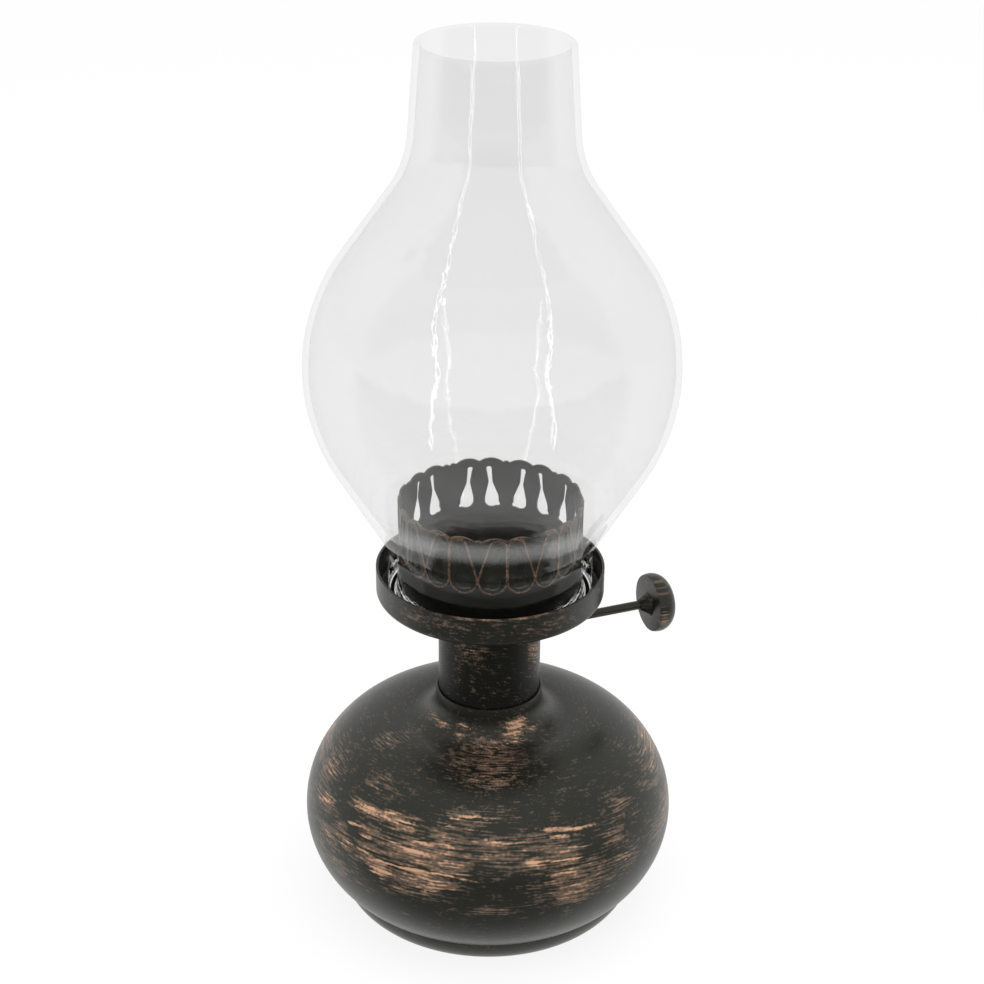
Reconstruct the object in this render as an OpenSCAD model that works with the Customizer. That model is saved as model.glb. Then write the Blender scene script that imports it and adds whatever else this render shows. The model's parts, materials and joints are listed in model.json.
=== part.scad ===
// Tea light holder in the shape of an old table oil lamp.
// Millimetres, +Z up. The origin is on the lamp's axis, in the plane it stands on.
// The knob's spindle points along +X.

/* [Font] */
// Widest diameter of the squashed globe body
font_d = 140; // [125:1:175]
// Height of the widest line above the foot's underside
belly_h = 34.6; // [32:0.2:42]
// Profile radius of the body below its widest line
lower_curve_r = 34.6; // [33:0.2:42]
// Profile radius of the body above its widest line
upper_curve_r = 37.8; // [36:0.2:46]
// Radius of the hollow sweep from the shoulder up to the collar
flare_r = 10.2; // [8:0.2:15]
// Straight height of the collar above that sweep
collar_h = 3.7; // [2:0.1:8]
// Sheet thickness of the two body shells
font_wall = 0.9; // [0.6:0.1:1.4]
// Depth of the lap where the two shells join
shell_lap = 4; // [3:0.5:8]

/* [Foot] */
// Height of the base pan
foot_h = 8; // [6:0.5:11]
// Diameter of the base pan where it meets the table
foot_d = 108; // [96:1:112]
// Sheet thickness of the base pan
foot_wall = 0.9; // [0.6:0.1:1.4]
// Thickness of the felt under the base pan
felt_t = 1; // [0.6:0.1:3]
// Diameter of the felt
felt_d = 100; // [70:1:104]

/* [Neck] */
// Outer diameter of the neck tube
neck_d = 38; // [32:0.5:46]
// Wall of the neck tube
neck_wall = 1.2; // [0.8:0.1:2]
// Height of neck seen between the collar and the tray
neck_show = 39.7; // [30:0.1:60]
// Diameter of the tie bolt that clamps the stack
bolt_d = 6; // [5:1:8]

/* [Tray] */
// Room between the chimney's fitter and the tray's wall
tray_gap = 3.5; // [2.5:0.1:12]
// Outer height of the tray
tray_h = 11; // [8:0.5:16]
// Sheet thickness of the tray
tray_wall = 0.9; // [0.6:0.1:1.4]
// Radius of the tray's lower edge
tray_edge_r = 2; // [1.2:0.1:3]

/* [Crown] */
// Gap between the crown and the inside of the fitter
crown_gap = 0.6; // [0.5:0.1:1.2]
// Height of the crown from the tray floor to the tip of a scallop
crown_h = 37.5; // [36:0.5:46]
// Thickness of the crown strip
crown_t = 0.8; // [0.6:0.1:1.2]
// Number of pairs of openings round the crown
crown_pairs = 10; // [8:1:10]
// Angle that the plain joint between the strip's ends takes up
joint_angle = 5; // [3:0.5:8]
// Direction of that joint, seen from above
joint_dir = 96; // [0:1:359]
// Height of an opening
slot_h = 17; // [14:0.5:18]
// Height of the lowest point of an opening above the tray floor
slot_base = 17.2; // [14.5:0.1:18]
// Width of the raised rim round each opening's panel
rim_w = 0.7; // [0.5:0.1:0.8]
// Height of that rim above the crown's face
rim_h = 0.3; // [0.2:0.05:0.4]

/* [Candle pan] */
// Inner diameter of the pan that the tea light stands in
pan_d = 54; // [46:0.5:56]
// Height of the pan's floor above the tray floor
pan_lift = 4.4; // [4.2:0.1:6]
// Height of the pan's rim above the tray floor
pan_rim_h = 14; // [11:0.5:14.2]
// Sheet thickness of the pan
pan_wall = 0.8; // [0.6:0.1:1]

/* [Chimney] */
// Height of the glass chimney
chimney_h = 203; // [190:1:250]
// Outer diameter of the straight fitter at its foot
fitter_d = 75; // [74:0.5:92]
// Height of the fitter up to the shoulder
fitter_h = 20; // [18:0.5:26]
// Thickness of the glass in the fitter
fitter_t = 3.5; // [2.6:0.1:4]
// Widest diameter of the globe
globe_d = 132.8; // [122:0.2:150]
// Profile radius of the globe
globe_curve_r = 67.8; // [66.6:0.2:84]
// Height of the globe's widest line above the chimney's foot
globe_h = 88; // [82:0.5:96]
// Hollow profile radius between the globe and the neck
throat_curve_r = 39.4; // [34:0.1:44]
// Diameter where the throat runs into the straight neck
throat_d = 58.2; // [54:0.2:64]
// Height of that place above the chimney's foot
throat_h = 172.3; // [170:0.1:180]
// Outer diameter of the chimney's mouth
mouth_d = 53.9; // [48:0.1:54]
// Thickness of the blown glass
glass_t = 2.2; // [1.6:0.1:3]

/* [Knob] */
// Diameter of the spindle
spindle_d = 3.4; // [3:0.1:4.4]
// Distance from the lamp's axis to the knob's inner face
knob_reach = 65.4; // [50:0.2:65.4]
// Height of the spindle below the tray's underside
spindle_drop = 18.5; // [12:0.1:24]
// Diameter of the knob
knob_d = 22.6; // [18:0.2:28]
// Thickness of the knob
knob_t = 8.4; // [7:0.1:8.8]

/* [Hidden] */
$fn = 96;

iron = "#34352f";
copper = "#8a5a41";
steel = "#a7a9a6";
clear = "#dfe8e6";
felt = "#23302a";

// Clearance of loose fits, of turning fits, and of pieces that are screwed or pressed together
fit_gap = 0.1;
turn_gap = 0.05;
seat_gap = 0.02;
// How far a cutter runs past the face that it opens
over = 1;

foot_z = felt_t;
seat_z = foot_z + foot_h;
belly_z = foot_z + belly_h;
font_r = font_d / 2;
lower_c = [font_r - lower_curve_r, belly_z];
upper_c = [font_r - upper_curve_r, belly_z];
lower_start = -asin((belly_z - seat_z) / lower_curve_r);
foot_top_r = lower_c[0] + lower_curve_r * cos(lower_start);
foot_side_r = ((foot_top_r - foot_d / 2) ^ 2 + foot_h ^ 2) / (2 * (foot_top_r - foot_d / 2));

neck_r = neck_d / 2;
neck_in_r = neck_r - neck_wall;
collar_r = neck_r + fit_gap + font_wall;
flare_c = [collar_r + flare_r,
           belly_z + sqrt((upper_curve_r + flare_r) ^ 2 - (collar_r + flare_r - upper_c[0]) ^ 2)];
flare_end = atan2(flare_c[1] - upper_c[1], flare_c[0] - upper_c[0]);
collar_z = flare_c[1] + collar_h;
tray_z = collar_z + neck_show;
deck_z = tray_z + tray_wall;

spigot_h = 3;
joggle_h = 2;
tongue_root_h = 1;
tongue_root_angle = -12;

boss_h = 7;
boss_r = neck_in_r - 2 * fit_gap;
bolt_r = bolt_d / 2;
bolt_hole_r = bolt_r + 2 * fit_gap;
bolt_end_inset = 0.5;
bolt_head_r = bolt_r * 2;
bolt_head_top_r = bolt_r * 1.6;
bolt_head_h = 2.6;
washer_t = 1;
washer_r = bolt_r * 2;
nut_h = bolt_d * 0.8;
nut_flats = bolt_d * 1.6;
cap_t = 1;
cap_spigot_h = 4;
cap_spigot_t = 2;

fitter_r = fitter_d / 2;
fitter_in_r = fitter_r - fitter_t;
tray_r = fitter_r + tray_gap + tray_wall;

crown_r = fitter_in_r - crown_gap;
crown_in_r = crown_r - crown_t;
crown_top = deck_z + crown_h;
pair_angle = (360 - joint_angle) / crown_pairs;
first_edge = joint_dir + joint_angle / 2;
slot_angle = pair_angle * 0.235;
lobe_angle = pair_angle * 0.215;
lobe_r = 7.5;
bead_r = 1.5;
bead_sink = 0.3;
valley_drop = 2.2;
slot_lean = 1.2;
slot_neck_w = 1.4;
slot_neck_h = slot_h * 0.62;
head_r = 1.05;
belly_r = 2.6;
toe_r = 0.9;
toe_lift = 0.45;

// Panel round each opening: a large low circle and a small high one with their common tangents.
// Its straight side runs beside the pair's middle, and its other side leans away from the next pair.
rib_w = 0.9;
panel_drop = 1.05;
panel_tip_gap = 0.35;
panel_side = crown_r * sin(slot_angle) - rib_w / 2;
panel_far = crown_r * sin(pair_angle / 2 - slot_angle) - rim_w * 0.75;
panel_low_r = (panel_side + panel_far) / 2;
panel_low = [panel_low_r - panel_side, panel_low_r - panel_drop];
panel_high_r = (panel_side + slot_lean) / 2;
panel_high = [panel_high_r - panel_side, crown_h - slot_base - panel_tip_gap - panel_high_r - rim_w];

pan_r = pan_d / 2;
pan_floor_z = deck_z + pan_lift;
pan_rim_z = deck_z + pan_rim_h;
pan_curve_r = 3;

chimney_z = deck_z;
shoulder_z = chimney_z + fitter_h;
shoulder_curve_r = 9;
fitter_edge_r = 0.8;
globe_c = [globe_d / 2 - globe_curve_r, chimney_z + globe_h];
mouth_z = chimney_z + chimney_h;
throat_z = chimney_z + throat_h;
neck_taper = atan((throat_d - mouth_d) / 2 / (mouth_z - throat_z));
throat_c = [throat_d / 2 + throat_curve_r * cos(neck_taper),
            throat_z + throat_curve_r * sin(neck_taper)];

spindle_z = tray_z - spindle_drop;
spindle_r = spindle_d / 2;
bush_bore_r = spindle_r + turn_gap;
bush_r = spindle_r + 1.3;
bush_flange_r = bush_r + 1.2;
bush_flange_t = 1.3;
bush_run = 5.8;
bush_in_x = neck_in_r - bush_run;
bush_out_x = neck_r + bush_flange_t;
bush_nut_h = 2.2;
bush_nut_flats = bush_r * 2 + 2;
clip_t = 0.7;
clip_r = spindle_r + 2;
clip_groove_r = spindle_r - 0.4;
clip_x = bush_in_x - clip_t - fit_gap;
spindle_tail = 2;
stop_x = bush_out_x + fit_gap;
stop_t = 2;
stop_r = spindle_r + 1.3;

knob_r = knob_d / 2;
knob_bore_h = knob_t * 0.6;
knob_side_r = knob_t * 0.732;
knob_side_c = [knob_r - knob_side_r, knob_t * 0.265];
knob_back_angle = -asin(knob_side_c[1] / knob_side_r);
knob_dome_angle = 74;
hub_h = 3.8;
hub_r = 4.6;
hub_tip_t = 0.5;

// Points along an arc about c, from angle a0 to angle a1
function arc(c, r, a0, a1, steps) =
    [for (i = [0:steps]) let (a = a0 + (a1 - a0) * i / steps) [c[0] + r * cos(a), c[1] + r * sin(a)]];

function reversed(points) = [for (i = [len(points) - 1:-1:0]) points[i]];

// Angle on a circle about c where the line from point p touches it, on the outer side
function touch_angle(c, r, p) =
    let (d = p - c) atan2(d[1], d[0]) + acos(r / norm(d));

module ring(outer, inner, height) {
    difference() {
        cylinder(r = outer, h = height);
        translate([0, 0, -over]) cylinder(r = inner, h = height + 2 * over);
    }
}

module hex_nut(flats, height, bore) {
    difference() {
        cylinder(d = flats / cos(30), h = height, $fn = 6);
        translate([0, 0, -over]) cylinder(r = bore, h = height + 2 * over);
    }
}

module along_x(x) {
    translate([x, 0, spindle_z]) rotate([0, 90, 0]) children();
}

// Felt disc glued under the base pan
module felt_base() {
    color(felt) cylinder(d = felt_d, h = felt_t);
}

// Side of the base pan, from the table up to its rim, set in by w
function foot_side(w) =
    let (c = [foot_top_r - foot_side_r, seat_z],
         low = -asin((foot_h - w) / (foot_side_r - w)))
    arc(c, foot_side_r - w, low, 0, 12);

// Base pan: dished sheet with a raised boss that centres the neck tube and hides the nut
module base_pan() {
    color(iron) rotate_extrude() polygon(concat(
        [[boss_r - foot_wall, foot_z]],
        foot_side(0),
        reversed(foot_side(foot_wall)),
        [[boss_r, foot_z + foot_wall],
         [boss_r, foot_z + boss_h + foot_wall],
         [bolt_hole_r, foot_z + boss_h + foot_wall],
         [bolt_hole_r, foot_z + boss_h],
         [boss_r - foot_wall, foot_z + boss_h]]));
}

// Lower half of the body: a spigot inside the pan, the lower curve, and a tongue for the lap
module font_lower_shell() {
    pan_in_r = foot_top_r - foot_side_r + sqrt((foot_side_r - foot_wall) ^ 2 - spigot_h ^ 2);
    spigot_r = pan_in_r - fit_gap;
    tongue_r = upper_c[0] + sqrt((upper_curve_r - font_wall) ^ 2 - shell_lap ^ 2) - fit_gap;
    joggle_angle = -asin((belly_z - seat_z - joggle_h) / (lower_curve_r - font_wall));
    color(iron) rotate_extrude() polygon(concat(
        [[spigot_r - font_wall, seat_z],
         [spigot_r - font_wall, seat_z - spigot_h],
         [spigot_r, seat_z - spigot_h],
         [spigot_r, seat_z]],
        arc(lower_c, lower_curve_r, lower_start, 0, 24),
        [[tongue_r, belly_z],
         [tongue_r, belly_z + shell_lap],
         [tongue_r - font_wall, belly_z + shell_lap],
         [tongue_r - font_wall, belly_z - tongue_root_h]],
        arc(lower_c, lower_curve_r - font_wall, tongue_root_angle, joggle_angle, 16)));
}

// Outline of the upper half, set in by w: the shoulder, the hollow sweep and the collar
function upper_line(w) = concat(
    arc(upper_c, upper_curve_r - w, 0, flare_end, 40),
    arc(flare_c, flare_r + w, 180 + flare_end, 180, 14),
    [[collar_r - w, collar_z]]);

// Upper half of the body, drawn up into the collar that holds the neck
module font_upper_shell() {
    color(iron) rotate_extrude() polygon(concat(upper_line(0), reversed(upper_line(font_wall))));
}

// Neck tube, standing on the base pan and drilled on one side for the spindle's bush
module neck_tube() {
    color(iron) difference() {
        translate([0, 0, foot_z + foot_wall])
            ring(neck_r, neck_in_r, tray_z - cap_t - foot_z - foot_wall);
        along_x(neck_in_r - bush_run) cylinder(r = bush_r + seat_gap, h = neck_wall + 2 * bush_run);
    }
}

// Cap that closes the neck tube and carries the tray
module neck_cap() {
    color(iron) difference() {
        union() {
            translate([0, 0, tray_z - cap_t]) cylinder(r = neck_r, h = cap_t);
            translate([0, 0, tray_z - cap_t - cap_spigot_h])
                ring(neck_in_r - fit_gap, neck_in_r - fit_gap - cap_spigot_t, cap_spigot_h);
        }
        translate([0, 0, tray_z - cap_t - over]) cylinder(r = bolt_hole_r, h = cap_t + 2 * over);
    }
}

// Tray: a plain pressed dish with a rounded lower edge
module tray() {
    color(iron) rotate_extrude() polygon(concat(
        [[bolt_hole_r, tray_z]],
        arc([tray_r - tray_edge_r, tray_z + tray_edge_r], tray_edge_r, -90, 0, 8),
        [[tray_r, tray_z + tray_h],
         [tray_r - tray_wall, tray_z + tray_h]],
        arc([tray_r - tray_edge_r, tray_z + tray_edge_r], tray_edge_r - tray_wall, 0, -90, 8),
        [[bolt_hole_r, deck_z]]));
}

// Candle pan: a cup whose wide rim reaches the crown and is hidden in it
module candle_pan() {
    rim_c = [pan_r + pan_curve_r, pan_rim_z - pan_curve_r];
    floor_c = [pan_r - pan_curve_r, pan_floor_z + pan_curve_r];
    edge_r = crown_in_r - seat_gap;
    color(iron) rotate_extrude() polygon(concat(
        [[0, pan_floor_z - pan_wall]],
        arc(floor_c, pan_curve_r + pan_wall, -90, 0, 6),
        arc(rim_c, pan_curve_r - pan_wall, 180, 90, 6),
        [[edge_r, pan_rim_z - pan_wall],
         [edge_r, pan_rim_z]],
        arc(rim_c, pan_curve_r, 90, 180, 6),
        arc(floor_c, pan_curve_r, 0, -90, 6),
        [[0, pan_floor_z]]));
}

/* One opening, drawn flat: a small head, a slim neck, a belly and a toe curled to +X.
   The head leans to -X, towards the other opening of its pair. */
module slot_outline() {
    head_y = slot_h - head_r;
    neck_x = -slot_lean * 0.45;
    side_x = belly_r * 0.93;
    side_y = belly_r * 1.9;
    translate([-slot_lean, head_y]) circle(r = head_r);
    translate([0, belly_r]) circle(r = belly_r);
    translate([0, belly_r * 1.5]) circle(r = belly_r);
    translate([belly_r * 0.85, toe_r + toe_lift]) circle(r = toe_r);
    polygon([[-slot_lean - head_r * 0.9, head_y],
             [neck_x - slot_neck_w / 2, slot_neck_h],
             [-side_x, side_y],
             [side_x, side_y],
             [neck_x + slot_neck_w / 2, slot_neck_h],
             [-slot_lean + head_r * 0.9, head_y]]);
}

// Places flat shapes on the crown's wall at angle a and height z, and runs them through it
module on_crown(a, z) {
    rotate([0, 0, a]) translate([crown_in_r - 2 * over, 0, z]) rotate([90, 0, 90])
        linear_extrude(crown_t + 4 * over) children();
}

// Puts its children at each opening round the crown, mirrored in the first of each pair
module each_slot() {
    for (i = [0:crown_pairs - 1], side = [-1, 1])
        on_crown(first_edge + pair_angle * (i + 0.5) + side * slot_angle, deck_z + slot_base)
            mirror([side < 0 ? 1 : 0, 0]) children();
}

// The panel's outline, widened all round by grow
module panel_outline(grow) {
    span = panel_high - panel_low;
    lean = atan2(span[1], span[0]) - acos((panel_low_r - panel_high_r) / norm(span));
    low_r = panel_low_r + grow;
    high_r = panel_high_r + grow;
    translate(panel_low) circle(r = low_r);
    translate(panel_high) circle(r = high_r);
    polygon([panel_low - [low_r, 0],
             panel_low + low_r * [cos(lean), sin(lean)],
             panel_high + high_r * [cos(lean), sin(lean)],
             panel_high - [high_r, 0]]);
}

// Crown: a pierced strip rolled into a ring, with two scallops over each pair of openings
module crown() {
    color(copper) difference() {
        union() {
            translate([0, 0, deck_z]) ring(crown_r, crown_in_r, crown_h - valley_drop);
            intersection() {
                translate([0, 0, crown_top - valley_drop - over])
                    ring(crown_r, crown_in_r, valley_drop + 2 * over);
                union() {
                    for (i = [0:crown_pairs - 1], side = [-1, 1])
                        on_crown(first_edge + pair_angle * (i + 0.5) + side * lobe_angle,
                                 crown_top - lobe_r) circle(r = lobe_r);
                    for (i = [0:crown_pairs])
                        on_crown(first_edge + pair_angle * i, crown_top - valley_drop - bead_sink)
                            circle(r = bead_r);
                }
            }
            intersection() {
                translate([0, 0, deck_z]) ring(crown_r + rim_h, crown_r - crown_t / 2, crown_h);
                each_slot() difference() {
                    panel_outline(rim_w);
                    panel_outline(0);
                }
            }
        }
        each_slot() slot_outline();
    }
}

// Tie bolt with a low round head under the candle pan
module tie_bolt() {
    head_z = deck_z + washer_t;
    end_z = foot_z + bolt_end_inset;
    color(steel) union() {
        translate([0, 0, end_z]) cylinder(r = bolt_r, h = head_z - end_z);
        translate([0, 0, head_z]) cylinder(r1 = bolt_head_r, r2 = bolt_head_top_r, h = bolt_head_h);
    }
}

module bolt_washer() {
    color(steel) translate([0, 0, deck_z]) ring(washer_r, bolt_hole_r, washer_t);
}

module base_washer() {
    color(steel) translate([0, 0, foot_z + boss_h - washer_t]) ring(washer_r, bolt_hole_r, washer_t);
}

module base_nut() {
    color(steel) translate([0, 0, foot_z + boss_h - washer_t - nut_h])
        hex_nut(nut_flats, nut_h, bolt_r + seat_gap);
}

// Flanged bush in the neck wall that the spindle turns in
module spindle_bush() {
    color(steel) difference() {
        union() {
            along_x(bush_in_x) cylinder(r = bush_r, h = neck_r - bush_in_x);
            along_x(neck_r) cylinder(r = bush_flange_r, h = bush_flange_t);
        }
        along_x(bush_in_x - over) cylinder(r = bush_bore_r, h = bush_out_x - bush_in_x + 2 * over);
    }
}

// Nut on the bush, inside the neck, set back to clear the tube's curve
module bush_nut() {
    corner_r = bush_nut_flats / 2 / cos(30);
    nut_x = sqrt(neck_in_r ^ 2 - corner_r ^ 2) - bush_nut_h;
    color(steel) along_x(nut_x) hex_nut(bush_nut_flats, bush_nut_h, bush_r + seat_gap);
}

// Spindle with a groove for its clip inside the neck and a stop collar outside the bush
module spindle() {
    start_x = clip_x - spindle_tail;
    end_x = knob_reach + knob_bore_h;
    color(iron) difference() {
        union() {
            along_x(start_x) cylinder(r = spindle_r, h = end_x - start_x);
            along_x(stop_x) cylinder(r = stop_r, h = stop_t);
        }
        along_x(clip_x) ring(spindle_r + over, clip_groove_r, clip_t);
    }
}

// Spring clip in the spindle's groove, open on one side
module spindle_clip() {
    color(steel) difference() {
        along_x(clip_x) ring(clip_r, clip_groove_r + seat_gap, clip_t);
        translate([clip_x - over, -clip_groove_r, spindle_z - clip_r - over])
            cube([clip_t + 2 * over, 2 * clip_groove_r, clip_r + over]);
    }
}

// Knob: a thick button with a flat inner face, a small cone round the spindle and a domed front
module knob() {
    dome_edge = knob_side_c + knob_side_r * [cos(knob_dome_angle), sin(knob_dome_angle)];
    dome_rise = knob_t - dome_edge[1];
    dome_r = (dome_edge[0] ^ 2 + dome_rise ^ 2) / (2 * dome_rise);
    dome_end = asin(dome_edge[0] / dome_r);
    color(iron) difference() {
        along_x(knob_reach) rotate_extrude() polygon(concat(
            [[0, -hub_h],
             [spindle_r + hub_tip_t, -hub_h],
             [hub_r, 0]],
            arc(knob_side_c, knob_side_r, knob_back_angle, knob_dome_angle, 16),
            arc([0, knob_t - dome_r], dome_r, 90 - dome_end, 90, 10)));
        along_x(knob_reach - hub_h - over)
            cylinder(r = spindle_r + seat_gap, h = hub_h + over + knob_bore_h);
    }
}

/* Glass line from the shoulder point p up to the mouth, for the surface w inside the outer one:
   a cone, the globe, a cone, the hollow throat and the tapered neck */
function glass_line(p, w) =
    let (r1 = globe_curve_r - w,
         r2 = throat_curve_r + w,
         low = touch_angle(globe_c, r1, p),
         d = throat_c - globe_c,
         high = atan2(d[1], d[0]) - acos((r1 + r2) / norm(d)))
    concat(arc(globe_c, r1, low, high, 36),
           arc(throat_c, r2, 180 + high, 180 + neck_taper, 12));

// Concave blend between the vertical fitter and the cone above it
function shoulder_blend() =
    let (p = [fitter_r, shoulder_z],
         lean = touch_angle(globe_c, globe_curve_r, p),
         rise = shoulder_curve_r * tan(abs(lean) / 2))
    arc([fitter_r + shoulder_curve_r, shoulder_z - rise], shoulder_curve_r, 180, 180 + lean, 8);

// Chimney: clear glass blown in one piece, open at both ends
module chimney() {
    lip_r = glass_t / 2;
    color(clear, 0.45) rotate_extrude() polygon(concat(
        [[fitter_in_r + fitter_edge_r, chimney_z]],
        arc([fitter_r - fitter_edge_r, chimney_z + fitter_edge_r], fitter_edge_r, -90, 0, 4),
        shoulder_blend(),
        glass_line([fitter_r, shoulder_z], 0),
        arc([mouth_d / 2 - lip_r, mouth_z - lip_r], lip_r, 0, 180, 10),
        reversed(glass_line([fitter_in_r, shoulder_z], glass_t)),
        [[fitter_in_r, shoulder_z],
         [fitter_in_r, chimney_z + fitter_edge_r]]));
}

felt_base();
base_pan();
font_lower_shell();
font_upper_shell();
neck_tube();
neck_cap();
tray();
candle_pan();
crown();
tie_bolt();
bolt_washer();
base_washer();
base_nut();
spindle_bush();
bush_nut();
spindle();
spindle_clip();
knob();
chimney();
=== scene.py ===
import json
import math

import bmesh
import bpy
import numpy as np
from bpy.props import FloatProperty, FloatVectorProperty, IntProperty, PointerProperty
from mathutils import Matrix, Vector


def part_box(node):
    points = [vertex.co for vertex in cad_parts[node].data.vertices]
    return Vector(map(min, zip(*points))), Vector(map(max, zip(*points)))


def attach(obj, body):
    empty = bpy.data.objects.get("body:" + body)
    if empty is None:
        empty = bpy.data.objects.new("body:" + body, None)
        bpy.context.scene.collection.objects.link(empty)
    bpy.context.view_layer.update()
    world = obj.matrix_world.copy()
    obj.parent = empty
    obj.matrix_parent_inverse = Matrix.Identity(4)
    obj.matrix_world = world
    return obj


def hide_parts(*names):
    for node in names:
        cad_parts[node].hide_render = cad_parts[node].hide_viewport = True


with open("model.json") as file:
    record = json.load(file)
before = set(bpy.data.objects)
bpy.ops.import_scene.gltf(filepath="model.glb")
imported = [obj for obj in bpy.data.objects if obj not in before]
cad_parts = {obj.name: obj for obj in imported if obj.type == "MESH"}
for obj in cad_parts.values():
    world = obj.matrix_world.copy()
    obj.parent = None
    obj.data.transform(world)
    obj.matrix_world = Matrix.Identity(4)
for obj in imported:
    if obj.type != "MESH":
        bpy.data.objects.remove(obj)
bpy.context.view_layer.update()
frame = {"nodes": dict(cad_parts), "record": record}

bl_info = {
    "name": "Lamp-shaped tea light holder",
    "version": (1, 0, 0),
    "blender": (4, 5, 0),
    "location": "View3D > Sidebar > Tea light holder",
    "description": "Builds the holder's smooth pieces, finishes and studio round its CAD frame",
    "category": "Object",
}

# Direction from the lamp's axis to the camera, in degrees; the brushed patches are placed from it
FRONT = -112.0


def top_of(node):
    """Height of a CAD node's highest point."""
    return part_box(node)[1][2]


def foot_of(node):
    """Height of a CAD node's lowest point."""
    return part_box(node)[0][2]


def reach_of(node):
    """How far a CAD node reaches along X."""
    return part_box(node)[1][0]


# Sizes and colours that a user may change

class BodySizes(bpy.types.PropertyGroup):
    belly_r: FloatProperty(name="Belly radius", description="Radius of the body at its widest line",
                           default=reach_of("font_upper_shell"), unit="LENGTH")
    belly_z: FloatProperty(name="Belly height", description="Height of the widest line",
                           default=foot_of("font_upper_shell"), unit="LENGTH")
    upper_curve: FloatProperty(name="Upper curve", description="Profile radius above the widest line",
                               default=0.0378, unit="LENGTH")
    lower_curve: FloatProperty(name="Lower curve", description="Profile radius below the widest line",
                               default=0.0346, unit="LENGTH")
    flare: FloatProperty(name="Flare", description="Radius of the hollow sweep up to the collar",
                         default=0.0102, unit="LENGTH")
    collar_r: FloatProperty(name="Collar radius", description="Outer radius of the collar",
                            default=0.020, unit="LENGTH")
    foot_r: FloatProperty(name="Foot radius", description="Radius of the foot at the table",
                          default=0.054, unit="LENGTH")
    sheet: FloatProperty(name="Sheet", description="Thickness of the pressed metal",
                         default=0.0009, unit="LENGTH")
    turns: IntProperty(name="Segments", description="Segments round the axis", default=256, min=64)


class GlassSizes(bpy.types.PropertyGroup):
    fitter_r: FloatProperty(name="Fitter radius", description="Outer radius of the straight foot",
                            default=0.0375, unit="LENGTH")
    fitter_in_r: FloatProperty(name="Fitter inner radius", description="Inner radius of that foot",
                               default=0.034, unit="LENGTH")
    fitter_h: FloatProperty(name="Fitter height", description="Height of that foot",
                            default=0.020, unit="LENGTH")
    globe_r: FloatProperty(name="Globe radius", description="Radius at the widest line",
                           default=0.0664, unit="LENGTH")
    globe_curve: FloatProperty(name="Globe curve", description="Profile radius of the globe",
                               default=0.0678, unit="LENGTH")
    globe_h: FloatProperty(name="Globe height", description="Height of its widest line",
                           default=0.088, unit="LENGTH")
    throat_r: FloatProperty(name="Throat radius", description="Radius where the neck starts",
                            default=0.0291, unit="LENGTH")
    throat_curve: FloatProperty(name="Throat curve", description="Hollow profile radius of the throat",
                                default=0.0394, unit="LENGTH")
    throat_h: FloatProperty(name="Throat height", description="Height where the neck starts",
                            default=0.1723, unit="LENGTH")
    mouth_r: FloatProperty(name="Mouth radius", description="Outer radius of the mouth",
                           default=0.02695, unit="LENGTH")
    wall: FloatProperty(name="Wall", description="Thickness of the glass", default=0.0022, unit="LENGTH")
    ripple: FloatProperty(name="Ripple", description="Height of the waves left by blowing",
                          default=0.00006, unit="LENGTH")
    turns: IntProperty(name="Segments", description="Segments round the axis", default=256, min=64)


class KnobSizes(bpy.types.PropertyGroup):
    reach: FloatProperty(name="Reach", description="Distance from the axis to the inner face",
                         default=0.0654, unit="LENGTH")
    height: FloatProperty(name="Height", description="Height of the spindle's axis",
                          default=0.10846, unit="LENGTH")
    radius: FloatProperty(name="Radius", description="Radius of the knob", default=0.0113, unit="LENGTH")
    thick: FloatProperty(name="Thickness", description="Thickness of the knob",
                         default=0.0084, unit="LENGTH")
    bore_r: FloatProperty(name="Bore", description="Radius of the hole for the spindle",
                          default=0.00172, unit="LENGTH")


class Finishes(bpy.types.PropertyGroup):
    iron: FloatVectorProperty(name="Black paint", description="Satin green-black ground of the metal",
                              default=(0.0068, 0.0073, 0.0056), subtype="COLOR")
    iron_worn: FloatVectorProperty(name="Rubbed paint", description="Where the ground is rubbed thin",
                                   default=(0.096, 0.066, 0.047), subtype="COLOR")
    copper_dull: FloatVectorProperty(name="Dull copper", description="The thinnest copper strokes",
                                     default=(0.120, 0.076, 0.053), subtype="COLOR")
    copper: FloatVectorProperty(name="Copper", description="Brushed-on copper",
                                default=(0.26, 0.152, 0.098), subtype="COLOR")
    copper_pale: FloatVectorProperty(name="Pale copper", description="The thickest copper strokes",
                                     default=(0.60, 0.355, 0.215), subtype="COLOR")
    # Painted light: the crown's inner face gets a lighter grey than the outer paint, standing in for the
    # light that falls on it.
    crown_inside_lit: FloatVectorProperty(name="Crown inside", description="Inner face of the crown's strip",
                                      default=(0.031, 0.033, 0.028), subtype="COLOR")
    zinc: FloatVectorProperty(name="Zinc", description="Plating of the hidden hardware",
                              default=(0.60, 0.61, 0.60), subtype="COLOR")
    felt: FloatVectorProperty(name="Felt", description="Felt under the foot",
                              default=(0.030, 0.045, 0.038), subtype="COLOR")
    glass: FloatVectorProperty(name="Glass", description="Tint of the clear glass",
                               default=(0.956, 0.958, 0.956), subtype="COLOR")


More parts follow.
